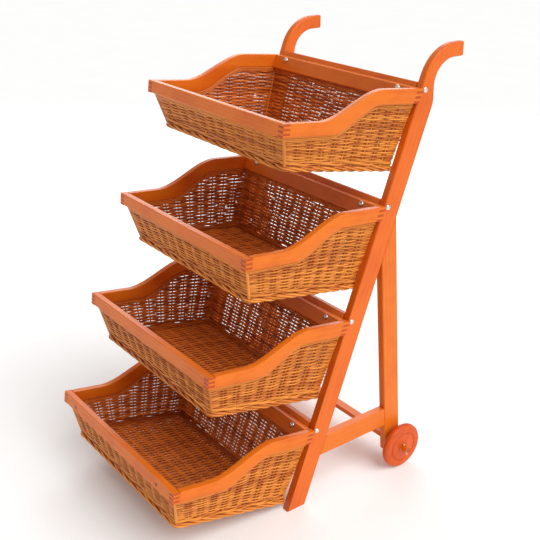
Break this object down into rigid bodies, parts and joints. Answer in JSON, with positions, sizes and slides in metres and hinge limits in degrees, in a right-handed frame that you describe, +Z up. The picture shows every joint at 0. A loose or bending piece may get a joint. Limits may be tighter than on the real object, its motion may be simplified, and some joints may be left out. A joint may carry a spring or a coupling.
{
  "type": "wheeled basket display stand",
  "caption": "Leaning wooden stand on two wheels with swan-neck handles, holding tiers of wicker baskets with S-curved finger-jointed rims.",
  "frame": {"origin": "on the floor under the middle of the stand's bounding box", "axes": "+X to the stand's right as seen from its front, +Y to the rear where the wheels and handle grips are, +Z up"},
  "size_m": [0.7052, 0.9236, 1.2155],
  "materials": {
    "wood": "satin",
    "wheel_wood": "satin",
    "wicker": "satin",
    "steel": "satin"
  },
  "bodies": {
    "stand": {"upright_left": "wood", "upright_right": "wood", "rear_leg_left": "wood", "rear_leg_right": "wood", "side_rail_left": "wood", "side_rail_right": "wood", "rear_cross_rail": "wood", "cross_rail_1": "wood", "cross_rail_2": "wood", "cross_rail_3": "wood", "cross_rail_4": "wood", "basket_1_front_rail": "wood", "basket_1_back_rail": "wood", "basket_1_left_rail": "wood", "basket_1_right_rail": "wood", "basket_1_wicker": "wicker", "basket_2_front_rail": "wood", "basket_2_back_rail": "wood", "basket_2_left_rail": "wood", "basket_2_right_rail": "wood", "basket_2_wicker": "wicker", "basket_3_front_rail": "wood", "basket_3_back_rail": "wood", "basket_3_left_rail": "wood", "basket_3_right_rail": "wood", "basket_3_wicker": "wicker", "basket_4_front_rail": "wood", "basket_4_back_rail": "wood", "basket_4_left_rail": "wood", "basket_4_right_rail": "wood", "basket_4_wicker": "wicker", "frame_bolt_1_left": "steel", "frame_bolt_1_right": "steel", "basket_bolt_1_left": "steel", "basket_bolt_1_right": "steel", "frame_bolt_2_left": "steel", "frame_bolt_2_right": "steel", "basket_bolt_2_left": "steel", "basket_bolt_2_right": "steel", "frame_bolt_3_left": "steel", "frame_bolt_3_right": "steel", "basket_bolt_3_left": "steel", "basket_bolt_3_right": "steel", "frame_bolt_4_left": "steel", "frame_bolt_4_right": "steel", "basket_bolt_4_left": "steel", "basket_bolt_4_right": "steel", "axle": "wood", "axle_pin_left": "steel", "axle_pin_right": "steel", "wheel_spacer_left": "wood", "wheel_spacer_right": "wood"},
    "wheel_left": {"wheel_left": "wheel_wood"},
    "wheel_right": {"wheel_right": "wheel_wood"}
  },
  "joints": [
    {"name": "wheel_left_spin", "type": "hinge", "parent": "stand", "child": "wheel_left", "pos_m": [-0.3203, 0.30183, 0.068], "axis": [1, 0, 0], "continuous": true},
    {"name": "wheel_right_spin", "type": "hinge", "parent": "stand", "child": "wheel_right", "pos_m": [0.3203, 0.30183, 0.068], "axis": [1, 0, 0], "continuous": true}
  ]
}
